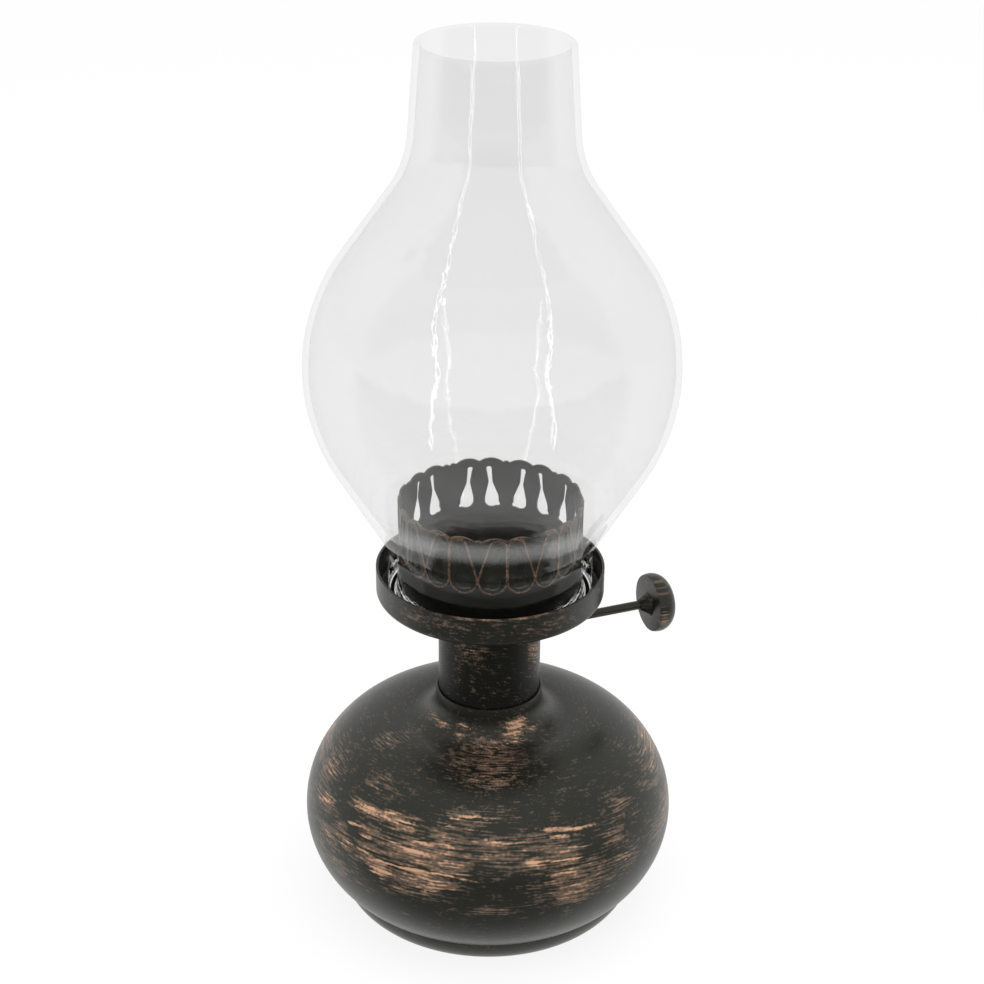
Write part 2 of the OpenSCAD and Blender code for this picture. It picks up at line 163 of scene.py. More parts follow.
class StudioSettings(bpy.types.PropertyGroup):
    distance: FloatProperty(name="Distance", description="Camera's distance from the axis, level",
                            default=0.67562, unit="LENGTH")
    height: FloatProperty(name="Height", description="Camera's height", default=0.4997, unit="LENGTH")
    pitch: FloatProperty(name="Pitch", description="How far the camera looks down",
                         default=math.radians(26.198), unit="ROTATION")
    roll: FloatProperty(name="Roll", description="Turn of the camera about its own axis",
                        default=math.radians(0.6), unit="ROTATION")
    yaw: FloatProperty(name="Yaw", description="Turn of the camera to the right",
                       default=math.radians(0.03), unit="ROTATION")
    lens: FloatProperty(name="Lens", description="Focal length for a 36 mm sensor",
                        default=76.46, unit="CAMERA")
    world: FloatProperty(name="World", description="Strength of the light from the sides, back and top",
                         default=0.85)
    dark_side: FloatProperty(name="Dark side", description="Strength of the light from behind the camera",
                             default=0.75)
    key: FloatProperty(name="Key", description="Power of the soft lamp overhead", default=27.0,
                       unit="POWER")


# Shader maths

class Wire:
    """A node's output socket. Arithmetic on it adds Math nodes to its material."""

    def __init__(self, socket):
        self.socket = socket
        self.tree = socket.id_data

    def _math(self, operation, *values):
        return add(self.tree, "ShaderNodeMath", {"operation": operation}, dict(enumerate(values)))

    def __add__(self, other):
        return self._math("ADD", self, other)

    def __sub__(self, other):
        return self._math("SUBTRACT", self, other)

    def __rsub__(self, other):
        return self._math("SUBTRACT", other, self)

    def __mul__(self, other):
        return self._math("MULTIPLY", self, other)

    def __truediv__(self, other):
        return self._math("DIVIDE", self, other)

    def __pow__(self, other):
        return self._math("POWER", self, other)

    def max(self, other):
        return self._math("MAXIMUM", self, other)

    def root(self):
        return self._math("SQRT", self)

    def gap(self, other):
        """How far this value is from the other one."""
        return self._math("ABSOLUTE", self - other)

    def split(self):
        """The three numbers of a vector."""
        first = add(self.tree, "ShaderNodeSeparateXYZ", {}, {0: self})
        return [Wire(socket) for socket in first.socket.node.outputs]

    def step(self, low, high):
        """0 below low, 1 above high, with a smooth rise between them."""
        return add(self.tree, "ShaderNodeMapRange", {"interpolation_type": "SMOOTHSTEP"},
                   {"Value": self, "From Min": low, "From Max": high})

    __radd__, __rmul__ = __add__, __mul__


def add(tree, kind, settings, inputs, output=0):
    """Adds a node of this kind, with its settings set first, then its inputs' values or links.
    A setting "stops" fills a colour ramp with (place, colour) pairs."""
    node = tree.nodes.new(kind)
    for name, value in settings.items():
        if name == "stops":
            ramp = node.color_ramp
            while len(ramp.elements) < len(value):
                ramp.elements.new(0.5)
            for stop, (place, colour) in zip(ramp.elements, value):
                stop.position, stop.color = place, (*colour, 1.0)
        else:
            setattr(node, name, value)
    for name, value in inputs.items():
        socket = node.inputs[name]
        if isinstance(value, Wire):
            tree.links.new(value.socket, socket)
        elif socket.type == "RGBA" and len(value) == 3:
            socket.default_value = (*value, 1.0)
        else:
            socket.default_value = value
    return Wire(node.outputs[output])


def blend_colours(tree, factor, low, high):
    """The colour low where factor is 0 and high where it is 1."""
    return add(tree, "ShaderNodeMix", {"data_type": "RGBA"}, {0: factor, 6: low, 7: high}, 2)


def mix_shaders(tree, factor, low, high):
    """The shader low where factor is 0 and high where it is 1."""
    return add(tree, "ShaderNodeMixShader", {}, {0: factor, 1: low, 2: high})


def ray_is(tree, kind):
    """1 for rays of this kind and 0 for all others."""
    return add(tree, "ShaderNodeLightPath", {}, {}, f"Is {kind} Ray")


def noise(tree, vector, scale, detail=2.0, roughness=0.5):
    """Smooth noise round 0.5, with about this many lumps to each unit of the vector."""
    return add(tree, "ShaderNodeTexNoise", {"noise_dimensions": "3D"},
               {"Vector": vector, "Scale": scale, "Detail": detail, "Roughness": roughness})


def object_place(tree):
    """The point's place on the object, in metres, as a vector."""
    return add(tree, "ShaderNodeTexCoord", {}, {}, 3)


def towards(turn, x, y):
    """How far (x, y) goes in the direction that is turn degrees from the front."""
    way = math.radians(FRONT + turn)
    return x * math.cos(way) + y * math.sin(way)


def bump(tree, height, distance):
    """The normal of a surface raised by height times distance."""
    return add(tree, "ShaderNodeBump", {}, {"Height": height, "Distance": distance, "Strength": 1.0})


def start_material(name):
    """A new material, its node tree, and its Principled shader."""
    material = bpy.data.materials.new(name)
    material.use_nodes = True
    tree = material.node_tree
    return material, tree, tree.nodes["Principled BSDF"]


def plug(tree, shader, **inputs):
    """Sets or links the shader's inputs; an underscore stands for a space."""
    for name, value in inputs.items():
        socket = shader.inputs[name.replace("_", " ")]
        if isinstance(value, Wire):
            tree.links.new(value.socket, socket)
        else:
            socket.default_value = (*value, 1.0) if isinstance(value, (tuple, list)) else value


# Turned shapes

# Points nearer together than this are one, a radius below this is 0, and edges past this angle
# stay sharp
SAME_SPOT = 1e-8
ON_AXIS = 1e-9
SHARP = math.radians(38)


def arc(centre, radius, start, end, steps):
    """Points on a circle about centre = (radius, height), from angle start to end in degrees:
    centre + radius (cos a, sin a)."""
    a = np.radians(np.linspace(start, end, steps + 1))
    return np.stack([centre[0] + radius * np.cos(a), centre[1] + radius * np.sin(a)], axis=1)


def eased(outline, radius, closed=True, steps=4, least=25.0):
    """Rounds each corner sharper than least degrees. A corner P between its neighbours is swapped for
    the curve (1-s)^2 A + 2s(1-s) P + s^2 B, with A and B up to radius away along its two sides."""
    before = np.roll(outline, 1, axis=0) - outline
    after = np.roll(outline, -1, axis=0) - outline
    long_b, long_a = np.linalg.norm(before, axis=1), np.linalg.norm(after, axis=1)
    unit_b, unit_a = before / long_b[:, None], after / long_a[:, None]
    turn = 180 - np.degrees(np.arccos(np.clip((unit_b * unit_a).sum(axis=1), -1, 1)))
    cut = np.minimum(radius, 0.45 * np.minimum(long_b, long_a)) * (turn > least)
    if not closed:
        cut[[0, -1]] = 0
    s = np.linspace(0, 1, steps + 1)[None, :, None]
    a = (outline + unit_b * cut[:, None])[:, None]
    b = (outline + unit_a * cut[:, None])[:, None]
    curve = ((1 - s) ** 2 * a + 2 * s * (1 - s) * outline[:, None] + s ** 2 * b).reshape(-1, 2)
    fresh = np.linalg.norm(curve - np.roll(curve, 1, axis=0), axis=1) > SAME_SPOT
    fresh[0] |= not closed
    return curve[fresh]


def signed_area(outline):
    """The outline's area, below 0 when it runs clockwise: half the sum of x y' - y x' over its sides."""
    x, y = outline.T
    return 0.5 * float(np.sum(x * np.roll(y, -1) - y * np.roll(x, -1)))


def grid_faces(rows, turns, closed):
    """The faces between neighbours on a grid of points numbered row by row. The last point of a row
    meets its first, and when closed is true the last row meets the first."""
    i = np.arange(rows if closed else rows - 1)[:, None]
    j = np.arange(turns)[None]
    up_i, next_j = (i + 1) % rows, (j + 1) % turns
    corners = [i * turns + j, i * turns + next_j, up_i * turns + next_j, up_i * turns + j]
    return np.stack(corners, axis=2).reshape(-1, 4)


def turned(name, outline, turns, closed=True, along_x=None, shape=None, marks=None):
    """A solid turned from an outline of (radius, height) points. At angle t the point is
    (r cos t, r sin t, h), or (h, r cos t, r sin t) from the point along_x when that is given.
    shape(t, r, h) may shift the radius. The attribute "along" holds the length along the outline,
    and each name in marks is an attribute that holds what its function of (t, r, h) gives."""
    if signed_area(outline) < 0:
        outline = outline[::-1]
    t = np.arange(turns) * (2 * np.pi / turns)
    r, h = outline[:, 0][:, None], outline[:, 1][:, None]
    radius = r + (shape(t[None], r, h) if shape else np.zeros((len(outline), turns)))
    radius = np.where(r < ON_AXIS, 0.0, radius)
    side, front, up = radius * np.cos(t), radius * np.sin(t), h + np.zeros_like(radius)
    if along_x is None:
        points = np.stack([side, front, up], axis=2)
    else:
        points = np.stack([up, side, front], axis=2) + np.asarray(along_x)
    mesh = bpy.data.meshes.new(name)
    mesh.from_pydata(points.reshape(-1, 3), [], grid_faces(len(outline), turns, closed))
    steps = np.linalg.norm(np.diff(outline, axis=0), axis=1)
    values = {"along": np.concatenate([[0.0], np.cumsum(steps)])[:, None] + np.zeros((1, turns))}
    for mark, amount in (marks or {}).items():
        values[mark] = amount(t[None], r, h)
    for mark, value in values.items():
        mesh.attributes.new(mark, "FLOAT", "POINT").data.foreach_set("value", value.ravel())
    work = bmesh.new()
    work.from_mesh(mesh)
    bmesh.ops.remove_doubles(work, verts=work.verts, dist=SAME_SPOT)
    work.to_mesh(mesh)
    work.free()
    mesh.shade_smooth()
    mesh.set_sharp_from_angle(angle=SHARP)
    mesh.update()
    piece = bpy.data.objects.new(name, mesh)
    bpy.context.scene.collection.objects.link(piece)
    return piece


def place(piece, node, material):
    """Gives a new piece its material, and puts it in the place of a CAD node."""
    piece.data.materials.append(material)
    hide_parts(node)
    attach(piece, body_of[node])


def paint(material, *nodes):
    """Gives CAD nodes this material in each of their slots."""
    for node in nodes:
        for slot in frame["nodes"][node].material_slots:
            slot.material = material


body_of = {node: body for body, members in frame["record"]["behaviour"]["bodies"].items()
           for node in members}


# Finishes

# The paint's gleam is faintly yellow, this is the scale of its fine grain, and the brush's rows lie
# up to this much higher, in metres, on the side that is this many degrees from the front
GLEAM = (1.0, 1.0, 0.87)
GRAIN = 2600.0
ROW_RISE, ROW_TURN = 0.010, -18

# Brushed patches: direction from the front and half width in degrees, height and half height
# in millimetres, and how thick the copper lies there
PATCHES = [
    (-21, 12, 52, 6.5, 1.0), (-20, 11, 44, 5, 1.05), (-34, 9, 43.5, 4, 0.90), (-37, 9, 51, 7, 0.80),
    (-45, 10, 59.5, 2.2, 0.85), (-31, 9, 60.2, 2.4, 0.88), (-24, 12, 38, 2.6, 0.66),
    (-13, 8, 57, 5, 0.85), (-10, 6, 51, 6, 0.80), (-6, 12, 64.6, 1.8, 0.62),
    (-12, 8, 62, 1.6, 0.58), (2, 8, 58, 3.2, 0.72), (4, 8, 53.5, 4, 0.62), (14, 7, 57.5, 3.4, 0.72),
    (14, 5, 51.6, 2.2, 1.0), (23, 9, 53, 5.5, 0.72), (24, 8, 45, 5, 0.80), (27, 9, 38, 5, 0.95),
    (34, 7, 44, 6, 0.58), (47, 6, 42, 4.5, 0.66), (43, 7, 50, 6, 0.45), (50, 7, 59, 4, 0.56),
    (-52, 8, 46, 6, 0.58), (-59, 8, 43, 6, 0.56), (-56, 12, 34, 4, 0.56), (-67, 9, 52, 4, 0.66),
    (-75, 9, 60, 7, 0.56), (0, 7, 34, 2, 0.40), (-46, 12, 66, 4, 0.36), (30, 13, 80.2, 2.4, 1.50),
    (26, 12, 77.6, 1.4, 1.25), (22, 9, 76.3, 0.9, 0.80), (48, 9, 77.2, 1.2, 0.60),
    (-27, 12, 79.6, 1.1, 0.75), (-50, 16, 77.3, 1.2, 0.72), (-70, 8, 77, 1.2, 0.90),
    (-24, 14, 76.5, 0.9, 0.66), (-3, 9, 76.6, 0.9, 0.62), (-6, 8, 75.6, 1.2, 0.80),
    (27, 8, 75.3, 0.7, 0.72), (0, 26, 74.8, 3.2, 0.66), (0, 12, 72.0, 1.6, 0.56),
    (27, 17, 79, 3.6, 0.62), (-66, 7, 72, 2, 0.50), (100, 26, 58, 6, 0.90), (140, 30, 48, 6, 0.80),
    (176, 24, 60, 5, 0.90), (-150, 26, 52, 6, 0.90), (-108, 22, 58, 6, 0.80),
    (-92, 18, 44, 5, 0.62), (78, 18, 42, 6, 0.66), (120, 22, 79, 1.6, 0.85),
    (-140, 28, 78, 1.6, 0.85), (160, 30, 36, 6, 0.55), (-120, 30, 36, 5, 0.55),
]

# Single strokes of the brush: direction and height where it starts and where it ends, half its
# thickness in millimetres, and how thick the copper lies
STROKES = [
    (14.5, 61.7, 43, 56.6, 0.90, 1.15), (8, 62.0, 20, 61.2, 0.35, 0.60),
    (18, 58.7, 34, 56.7, 0.70, 0.80), (26, 54.1, 37, 52.0, 0.50, 0.60),
    (11, 52.6, 19, 50.0, 1.10, 0.85), (17, 51.5, 33, 49.1, 0.50, 0.80),
    (30, 65.2, 36, 63.9, 0.35, 0.60), (0, 54.8, 8, 54.9, 0.35, 0.50),
    (18, 46.2, 29, 46.0, 0.45, 0.50), (36, 38.2, 44, 33.8, 0.50, 0.40),
    (44, 43.6, 50, 43.0, 0.50, 0.50), (44, 41.0, 51, 41.5, 0.45, 0.50),
    (-72, 49.6, -55, 56.0, 0.90, 0.50), (-64, 53.3, -56, 55.7, 0.50, 0.62),
    (-54, 57.7, -25, 61.1, 0.45, 0.85), (-52, 59.4, -39, 60.3, 0.55, 0.72),
    (-39, 60.8, -31, 62.3, 0.40, 1.0), (-49, 58.7, -37, 59.3, 0.45, 0.80),
    (-53.5, 51.8, -41, 54.7, 0.80, 1.10), (-46, 51.0, -37, 51.9, 0.60, 0.95),
    (-37, 53.4, -25, 54.2, 0.45, 0.62), (-32, 59.9, -23, 61.6, 0.50, 0.66),
    (-34, 57.8, -23, 59.0, 0.40, 0.62), (-26, 56.2, -8, 57.1, 0.40, 0.66),
    (-27, 52.5, -21, 53.2, 0.70, 0.72), (-54, 45.9, -35, 46.9, 0.40, 0.50),
    (-39, 45.1, -26, 47.0, 0.85, 0.90), (-30, 46.0, -16, 48.0, 0.75, 1.10),
    (-41, 41.9, -27, 43.1, 0.60, 1.0), (-39, 40.7, -31, 41.2, 0.45, 0.72),
    (-37, 39.4, -30, 39.8, 0.40, 0.60), (-30, 37.9, -22, 38.4, 0.40, 0.55),
    (-19, 44.3, -11, 44.8, 0.35, 0.80), (-19, 43.0, -11, 43.4, 0.35, 0.80),
    (-19, 41.7, -10, 42.3, 0.35, 0.74), (-21, 39.9, -14, 40.7, 0.45, 0.80),
    (-22, 48.0, 6, 45.4, 0.42, 0.80), (-12, 42.3, -2, 41.1, 0.35, 0.56),
    (-61, 42.4, -49, 43.1, 0.50, 0.45), (-21, 63.3, -5, 65.0, 0.35, 0.60),
    (-15, 64.1, 3, 65.8, 0.45, 0.80), (-6, 63.9, 3, 64.1, 0.35, 0.60),
    (-5, 67.5, 1, 67.5, 0.35, 0.55), (-19, 61.7, -9, 62.5, 0.40, 0.66),
    (-7, 61.9, 0, 61.2, 0.40, 0.56), (-2, 59.7, 6, 57.9, 0.70, 0.66),
    (3, 57.8, 15, 58.3, 0.45, 0.60), (5, 63.3, 10, 63.8, 0.30, 0.45),
    (-37, 80.3, -13, 79.0, 0.35, 0.95), (-76, 76.2, -26, 79.6, 0.35, 0.50),
    (-63, 75.9, -43, 76.3, 0.25, 0.66), (15, 77.6, 34, 77.9, 0.25, 0.80),
    (12, 75.2, 31, 75.5, 0.18, 0.90), (22, 76.9, 39, 76.8, 0.22, 0.80),
    (16, 81.2, 44, 80.8, 0.50, 1.0), (18, 79.4, 42, 79.0, 0.45, 0.95),
    (-33, 76.5, -21, 76.9, 0.22, 0.60),
]


def brushed(t, r, h):
    """How much copper the brush left: the largest of soft round-ended patches, each
    weight * exp(-(angle / width)^2 - (height / half height)^2)."""
    most = np.zeros(np.broadcast(t, h).shape)
    for turn, width, height, half, weight in PATCHES:
        away = np.degrees(np.angle(np.exp(1j * (t - np.radians(FRONT + turn)))))
        soft = weight * np.exp(-(away / width) ** 2 - ((h * 1000 - height) / half) ** 2)
        most = np.maximum(most, soft)
    return most


def stroked(t, r, h):
    """How much copper the strokes add: the largest of their bands, each weight * taper * (1.3 - the
    distance from its middle line / half its thickness), held between 0 and the weight. The taper
    rises from 0 to 1 over the first part of the stroke and falls to 0 over its last."""
    most = np.zeros(np.broadcast(t, h).shape)
    for turn_0, z_0, turn_1, z_1, half, weight in STROKES:
        middle = np.radians(FRONT + (turn_0 + turn_1) / 2)
        share = np.degrees(np.angle(np.exp(1j * (t - middle)))) / (turn_1 - turn_0) + 0.5
        taper = np.clip(share / 0.25, 0, 1) * np.clip((1 - share) / 0.4, 0, 1)
        off = np.abs(h * 1000 - z_0 - (z_1 - z_0) * share) / half
        most = np.maximum(most, weight * taper * np.clip(1.3 - off, 0, 1))
    return most


def round_place(tree):
    """The cosine and sine of the direction round the axis, the height, and the distance from the axis."""
    x, y, z = object_place(tree).split()
    r = (x * x + y * y).root()
    return x / r, y / r, z, r


def by_mark(tree, name):
    """The piece's own attribute of this name."""
    return add(tree, "ShaderNodeAttribute", {"attribute_name": name}, {}, 2)


def by_wear(tree, cos_t, sin_t, z):
    """A cover that is the piece's own wear attribute."""
    return by_mark(tree, "wear")


def by_patches(*patches, least=0.0):
    """A cover that is the largest of a few round windows, each (direction from the front, half
    width, height, half height, weight) in degrees and metres, and at least this much everywhere."""
    def cover(tree, cos_t, sin_t, z):
        most = z * 0
        for turn, width, height, half, weight in patches:
            side = towards(turn, cos_t, sin_t).step(math.cos(math.radians(width)), 1.0)
            most = most.max(side * (1 - z.gap(height).step(0.0, half)) * weight)
        return most.max(least)
    return cover


def by_spots(*spots, least=0.0):
    """A cover that is the largest of a few round spots, each (x, y, z, radius, weight) in metres, and
    at least this much everywhere."""
    def cover(tree, cos_t, sin_t, z):
        most = z * 0
        for x, y, high, radius, weight in spots:
            away = add(tree, "ShaderNodeVectorMath", {"operation": "DISTANCE"},
                       {0: object_place(tree), 1: (x, y, high)}, 1)
            most = most.max((1 - away.step(0.0, radius)) * weight)
        return most.max(least)
    return cover


def brushed_iron(name, finish, cover, turn=1.0, body=False, gloss=0.45):
    """Satin black paint with copper dry-brushed over it. cover(tree, cos_t, sin_t, z) says how much
    the brush left. Four noises, from streaks round the axis to a fine speckle, are added up with it,
    and what stands above a level is copper, palest where it stands highest. Under it the brush left a
    thin brown glaze, and a few stray specks lie all over. The body's rows follow its curve, and its
    single strokes are added too."""
    material, tree, shader = start_material(name)
    cos_t, sin_t, z, _ = round_place(tree)
    row = (by_mark(tree, "along") if body else z) - towards(ROW_TURN, cos_t, sin_t) * ROW_RISE

    def ringed(across, rows):
        """Noise drawn out round the axis, with this many rows to a metre, less its middle value."""
        place = add(tree, "ShaderNodeCombineXYZ", {},
                    {0: cos_t * (across * turn), 1: sin_t * (across * turn), 2: row * rows})
        return noise(tree, place, 1.0, 0.0) - 0.5

    left = cover(tree, cos_t, sin_t, z)
    streak, dash, speck, clump = (ringed(*size) for size in ((5, 1400), (14, 1500), (48, 1200), (9, 280)))
    near = left.step(0.06, 0.50)
    swept = streak * near
    level = swept * 5.4 + (dash * 4.6 + speck * 3.8) * (near * 0.3 + 0.7) + clump * 1.4 + left * 2.9
    if body:
        level = level + by_mark(tree, "stroke") * 3.4
    stray = noise(tree, object_place(tree), 700.0, 0.0).step(0.77, 0.88) * 0.13
    copper = level.step(1.5, 5.6).max(stray)
    glaze = (left * 1.4 + swept * 2.6 + dash * 1.5 + speck + clump * 0.8).step(0.14, 1.02)
    ground = blend_colours(tree, glaze, finish.iron, finish.iron_worn)
    tones = [(0.0, finish.copper_dull), (0.5, finish.copper), (1.0, finish.copper_pale)]
    tone = add(tree, "ShaderNodeValToRGB", {"stops": tones}, {"Fac": copper})
    grain = noise(tree, object_place(tree), GRAIN)
    plug(tree, shader,
         Base_Color=blend_colours(tree, copper.step(0.0, 0.40), ground, tone),
         Metallic=copper * 0.35,
         Roughness=0.29 + grain * 0.10 + copper * 0.14,
         Normal=bump(tree, grain * 0.3 + copper * 0.7, 0.00004),
         Specular_IOR_Level=gloss, Specular_Tint=GLEAM)
    return material


def plated_zinc(name, finish):
    """Zinc plating: a pale grey metal with faint cloudy patches and fine grain."""
    material, tree, shader = start_material(name)
    cloud = noise(tree, object_place(tree), 300.0, 3.0)
    grain = noise(tree, object_place(tree), 3500.0)
    dull = [0.72 * v for v in finish.zinc]
    plug(tree, shader, Base_Color=blend_colours(tree, cloud.step(0.35, 0.7), dull, finish.zinc),
         Roughness=0.28 + grain * 0.2, Normal=bump(tree, grain, 0.00002), Metallic=1.0)
    return material


def pressed_felt(name, finish):
    """Felt: a matt cloth of tangled fibres, in two scales of noise."""
    material, tree, shader = start_material(name)
    fibre = noise(tree, object_place(tree), 1800.0, 4.0, 0.7)
    nap = noise(tree, object_place(tree), 260.0)
    lit = [1.9 * v for v in finish.felt]
    plug(tree, shader, Base_Color=blend_colours(tree, fibre * 0.7 + nap * 0.3, finish.felt, lit),
         Roughness=0.95, Normal=bump(tree, fibre, 0.00025), Sheen_Weight=0.3)
    return material


def black_cup(name, finish):
    """The candle pan's deep black: nearly matt, clouded with a little soot and fine grain."""
    material, tree, shader = start_material(name)
    soot = noise(tree, object_place(tree), 240.0, 3.0, 0.6)
    grain = noise(tree, object_place(tree), GRAIN)
    deep = [0.55 * v for v in finish.iron]
    plug(tree, shader, Base_Color=blend_colours(tree, soot.step(0.35, 0.7), deep, finish.iron),
         Roughness=0.46 + grain * 0.2, Normal=bump(tree, grain, 0.00004),
         Specular_IOR_Level=0.3, Specular_Tint=GLEAM)
    return material


def crown_metal(name, finish, face_r, top_z):
    """The crown's strip: black paint outside, rubbed to copper on its raised rims and on its tips, and a
    lighter grey inside that is painted light, standing in for the overhead light that falls on the
    inner face. The rims lie farther from the axis than its face, at face_r, and the tips end at top_z."""
    material, tree, shader = start_material(name)
    _, _, z, r = round_place(tree)
    blotch = noise(tree, object_place(tree), 300.0, 3.0, 0.6)
    fine = noise(tree, object_place(tree), 1500.0)
    grain = noise(tree, object_place(tree), GRAIN)
    raised = r.step(face_r + 0.00004, face_r + 0.00020)
    outer = r.step(face_r - 0.0005, face_r - 0.0002)
    tips = (z + blotch * 0.005).step(top_z + 0.0002, top_z + 0.0024) * outer
    rubbed = raised * (blotch * 0.7 + fine * 0.7).step(0.46, 0.80)
    worn = rubbed.max(tips * (blotch * 0.6 + fine * 0.6).step(0.54, 0.72))
    # Painted light: the lighter inside colour stands in for light on the crown's inner face.
    ground = blend_colours(tree, outer, finish.crown_inside_lit, finish.iron)
    copper = blend_colours(tree, fine.step(0.42, 0.66), finish.copper_dull, finish.copper)
    plug(tree, shader,
         Base_Color=blend_colours(tree, worn, ground, copper),
         Metallic=worn * 0.4, Roughness=0.34 + grain * 0.12, Normal=bump(tree, grain, 0.00003),
         Specular_IOR_Level=0.45, Specular_Tint=GLEAM)
    return material


def clear_glass(name, finish, shoulder_z):
    """Clear glass. The thick lower part of its foot bends light. Above that the wall is so thin that
    light goes nearly straight on, less what its faces mirror, more at a slant. Over it lies a pale
    diffuse veil of painted reflection, faint low on the globe and stronger on a narrow ring a little
    above the shoulder. Lamps shine through the glass as through a plain tinted pane, so its shadow is soft."""
    material, tree, shader = start_material(name)
    cos_t, sin_t, z, _ = round_place(tree)
    slow = noise(tree, object_place(tree), 34.0, 2.0, 0.4)
    quick = noise(tree, object_place(tree), 170.0)
    drawn_out = add(tree, "ShaderNodeCombineXYZ", {}, {0: cos_t * 16, 1: sin_t * 16, 2: z * 30})
    drawn = noise(tree, drawn_out, 1.0)
    # Heights are in metres from the shoulder, where the straight foot ends
    thin = z.step(shoulder_z - 0.0160, shoulder_z - 0.0140)
    waves = bump(tree, slow * 0.6 + quick * 0.10 + (1 - thin) * drawn * 0.12, 0.001)
    plug(tree, shader, Base_Color=tuple(v ** 2 for v in finish.glass), Transmission_Weight=1.0, IOR=1.5,
         Roughness=0.0, Normal=waves)
    pane = add(tree, "ShaderNodeBsdfTransparent", {}, {"Color": finish.glass})
    mirror = add(tree, "ShaderNodeBsdfAnisotropic", {},
                 {"Color": (0.88, 0.88, 0.88), "Roughness": 0.0, "Normal": waves})
    veil_diffuse = add(tree, "ShaderNodeBsdfDiffuse", {}, {"Color": (0.8, 0.8, 0.8)})
    slant = add(tree, "ShaderNodeLayerWeight", {}, {"Blend": 0.5, "Normal": waves}, 1)
    # Painted reflection: a white diffuse veil over the wall, up to 0.045 low on the globe and 0.10 on a
    # ring 19 mm above the shoulder.
    ring = 1 - z.gap(shoulder_z + 0.019).step(0.0025, 0.0060)
    above = z.step(shoulder_z + 0.026, shoulder_z + 0.046)
    below = 1 - z.step(shoulder_z + 0.056, shoulder_z + 0.085)
    painted_veil = (above * below * 0.045).max(ring * 0.10)
    clean = mix_shaders(tree, slant ** 5 * 0.5 + 0.04, pane, mirror)
    wall = mix_shaders(tree, painted_veil, clean, veil_diffuse)
    seen = mix_shaders(tree, thin, Wire(shader.outputs[0]), wall)
    plug(tree, tree.nodes["Material Output"], Surface=mix_shaders(tree, ray_is(tree, "Shadow"), seen, pane))
    return material


# Pieces

class LAMP_OT_body(bpy.types.Operator):
    """Turns the two shells of the body and the flared foot under them"""
    bl_idname = "lamp.body"
    bl_label = "Body and foot"

    def execute(self, context):
        s, finish = context.scene.lamp_body, context.scene.lamp_finish
        seat_z = top_of("base_pan")
        low_c = (s.belly_r - s.lower_curve, s.belly_z)
        up_c = (s.belly_r - s.upper_curve, s.belly_z)
        start = -math.degrees(math.asin((s.belly_z - seat_z) / s.lower_curve))
        flare_r = s.collar_r + s.flare
        flare_h = math.sqrt((s.upper_curve + s.flare) ** 2 - (flare_r - up_c[0]) ** 2)
        flare_c = (flare_r, s.belly_z + flare_h)
        end = math.degrees(math.atan2(flare_c[1] - up_c[1], flare_c[0] - up_c[0]))
        collar_z = top_of("font_upper_shell")
        # How far the sheet's edges are rounded: hardly at all within seam_h of the belly's seam, where
        # the two shells meet
        seam, seam_h = 0.00002, 0.001
        upper_edge, lower_edge, foot_edge = 0.00025, 0.0002, 0.0004

        def upper_line(inset, steps):
            """The upper shell's profile, this far inside its face, from the belly up to the collar."""
            return np.concatenate([arc(up_c, s.upper_curve - inset, 0, end, 4 * steps),
                                   arc(flare_c, s.flare + inset, 180 + end, 180, steps),
                                   [[s.collar_r - inset, collar_z]]])

        metal = brushed_iron("brushed iron, body", finish, by_wear, body=True)
        marks = {"wear": brushed, "stroke": stroked}
        upper = np.concatenate([upper_line(0, 56), upper_line(s.sheet, 12)[::-1]])
        upper = eased(upper, np.where(upper[:, 1] < s.belly_z + seam_h, seam, upper_edge))
        place(turned("body_upper_shell", upper, s.turns, marks=marks), "font_upper_shell", metal)

        foot_top = low_c[0] + s.lower_curve * math.cos(math.radians(start))
        foot_z = foot_of("base_pan")
        foot_h = seat_z - foot_z
        out = foot_top - s.foot_r
        side_r = (out ** 2 + foot_h ** 2) / (2 * out)
        # The lower shell's spigot goes down into the foot and its tongue up into the upper shell. Its
        # inner wall runs from wall_top degrees to wall_end above the seat
        fit, spigot_h, lap, wall_top, wall_end = 0.0001, 0.003, 0.004, -12, 0.002
        spigot_r = foot_top - side_r + math.sqrt((side_r - s.sheet) ** 2 - spigot_h ** 2) - fit
        tongue_r = up_c[0] + math.sqrt((s.upper_curve - s.sheet) ** 2 - lap ** 2) - fit
        wall_low = -math.degrees(math.asin((s.belly_z - seat_z - wall_end) / (s.lower_curve - s.sheet)))
        lower = np.concatenate([
            [[spigot_r - s.sheet, seat_z], [spigot_r - s.sheet, seat_z - spigot_h],
             [spigot_r, seat_z - spigot_h], [spigot_r, seat_z]],
            arc(low_c, s.lower_curve, start, 0, 64),
            [[tongue_r, s.belly_z], [tongue_r, s.belly_z + lap],
             [tongue_r - s.sheet, s.belly_z + lap], [tongue_r - s.sheet, s.belly_z - seam_h]],
            arc(low_c, s.lower_curve - s.sheet, wall_top, wall_low, 32)])
        lower = eased(lower, np.where(lower[:, 1] > s.belly_z - seam_h, seam, lower_edge))
        place(turned("body_lower_shell", lower, s.turns, marks=marks), "font_lower_shell", metal)

        def side(inset):
            """The foot's flared side, this far inside its face, from the table up to the seat."""
            low = -math.degrees(math.asin((foot_h - inset) / (side_r - inset)))
            return arc((foot_top - side_r, seat_z), side_r - inset, low, 0, 28)

        boss_r, boss_h, hole_r = 0.0176, 0.007, 0.0032
        foot = np.concatenate([
            [[boss_r - s.sheet, foot_z]], side(0), side(s.sheet)[::-1],
            [[boss_r, foot_z + s.sheet], [boss_r, foot_z + boss_h + s.sheet],
             [hole_r, foot_z + boss_h + s.sheet], [hole_r, foot_z + boss_h],
             [boss_r - s.sheet, foot_z + boss_h]]])
        place(turned("foot_pan", eased(foot, foot_edge), s.turns, marks=marks), "base_pan", metal)
        return {"FINISHED"}


